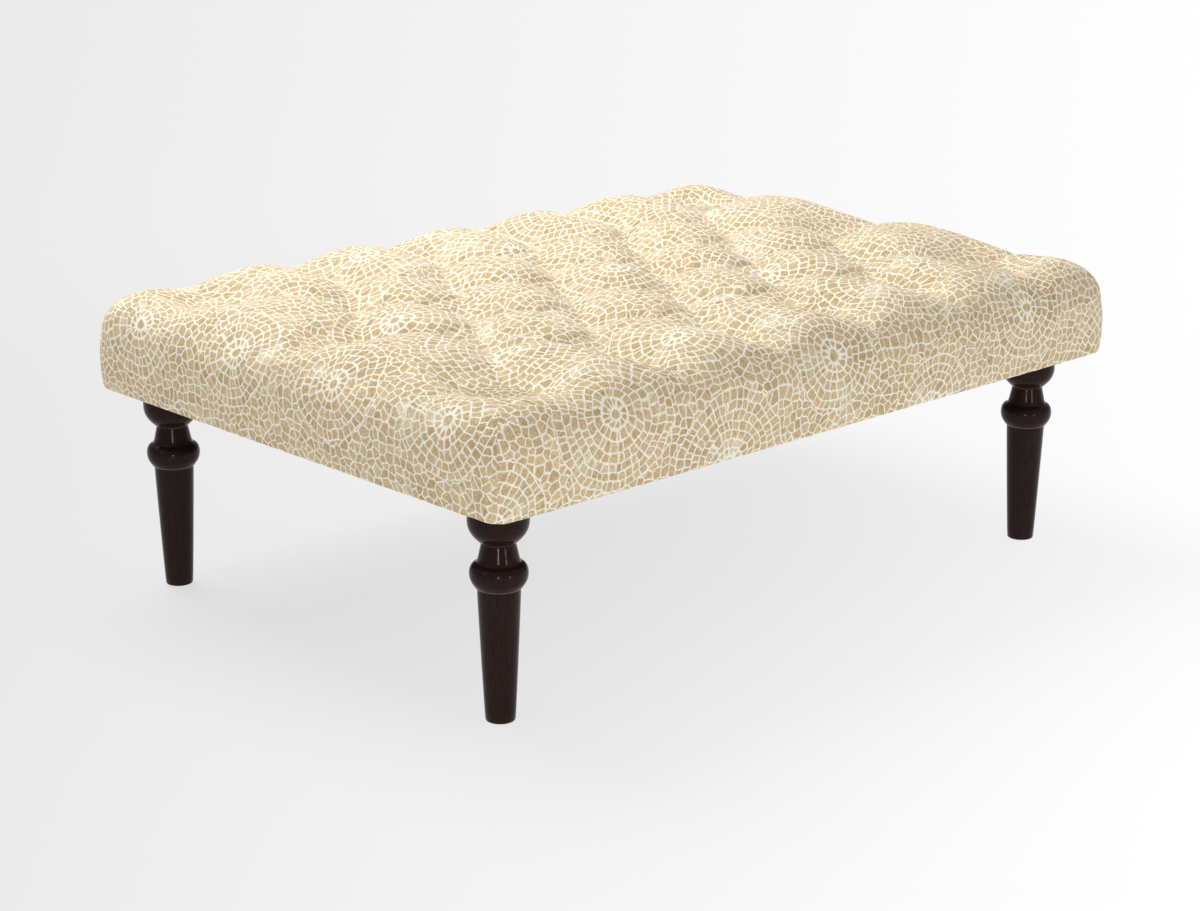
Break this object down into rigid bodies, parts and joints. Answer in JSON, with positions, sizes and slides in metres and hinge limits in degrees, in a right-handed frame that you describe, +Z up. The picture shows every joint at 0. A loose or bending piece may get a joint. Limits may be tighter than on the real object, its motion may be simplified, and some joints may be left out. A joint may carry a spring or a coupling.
{
  "type": "tufted ottoman coffee table",
  "caption": "Rectangular ottoman coffee table: a diamond-tufted upholstered top in mosaic-patterned cloth on short turned legs, each with a ring and a ball.",
  "frame": {"origin": "on the floor, under the centre of the top", "axes": "+X along the long side, +Y across to the back, +Z up"},
  "size_m": [1.2216, 0.868, 0.4508],
  "materials": {
    "mosaic_fabric": "woven cloth printed with rings of small tan tiles",
    "soft_foam": "open-cell foam, soft",
    "firm_foam": "open-cell foam, firm",
    "plywood": "sanded, unfinished",
    "frame_wood": "planed, unfinished",
    "twine": "waxed",
    "toggle_wood": "sanded, unfinished",
    "dark_wood": "dark espresso lacquer, satin",
    "plated_steel": "zinc plated",
    "glide_plastic": "smooth",
    "dust_cloth": "thin black non-woven cloth"
  },
  "bodies": {
    "root": {"fabric_cover": "mosaic_fabric", "wrap_foam": "soft_foam", "core_foam": "firm_foam", "deck_panel": "plywood", "tuft_ties": "twine", "tie_toggles": "toggle_wood", "front_rail": "frame_wood", "back_rail": "frame_wood", "left_rail": "frame_wood", "right_rail": "frame_wood", "left_cross_rail": "frame_wood", "right_cross_rail": "frame_wood", "front_left_corner_block": "frame_wood", "back_left_corner_block": "frame_wood", "front_right_corner_block": "frame_wood", "back_right_corner_block": "frame_wood", "hanger_bolts": "plated_steel", "plate_nuts": "plated_steel", "legs": "dark_wood", "glides": "glide_plastic", "dust_cover": "dust_cloth"}
  },
  "joints": []
}
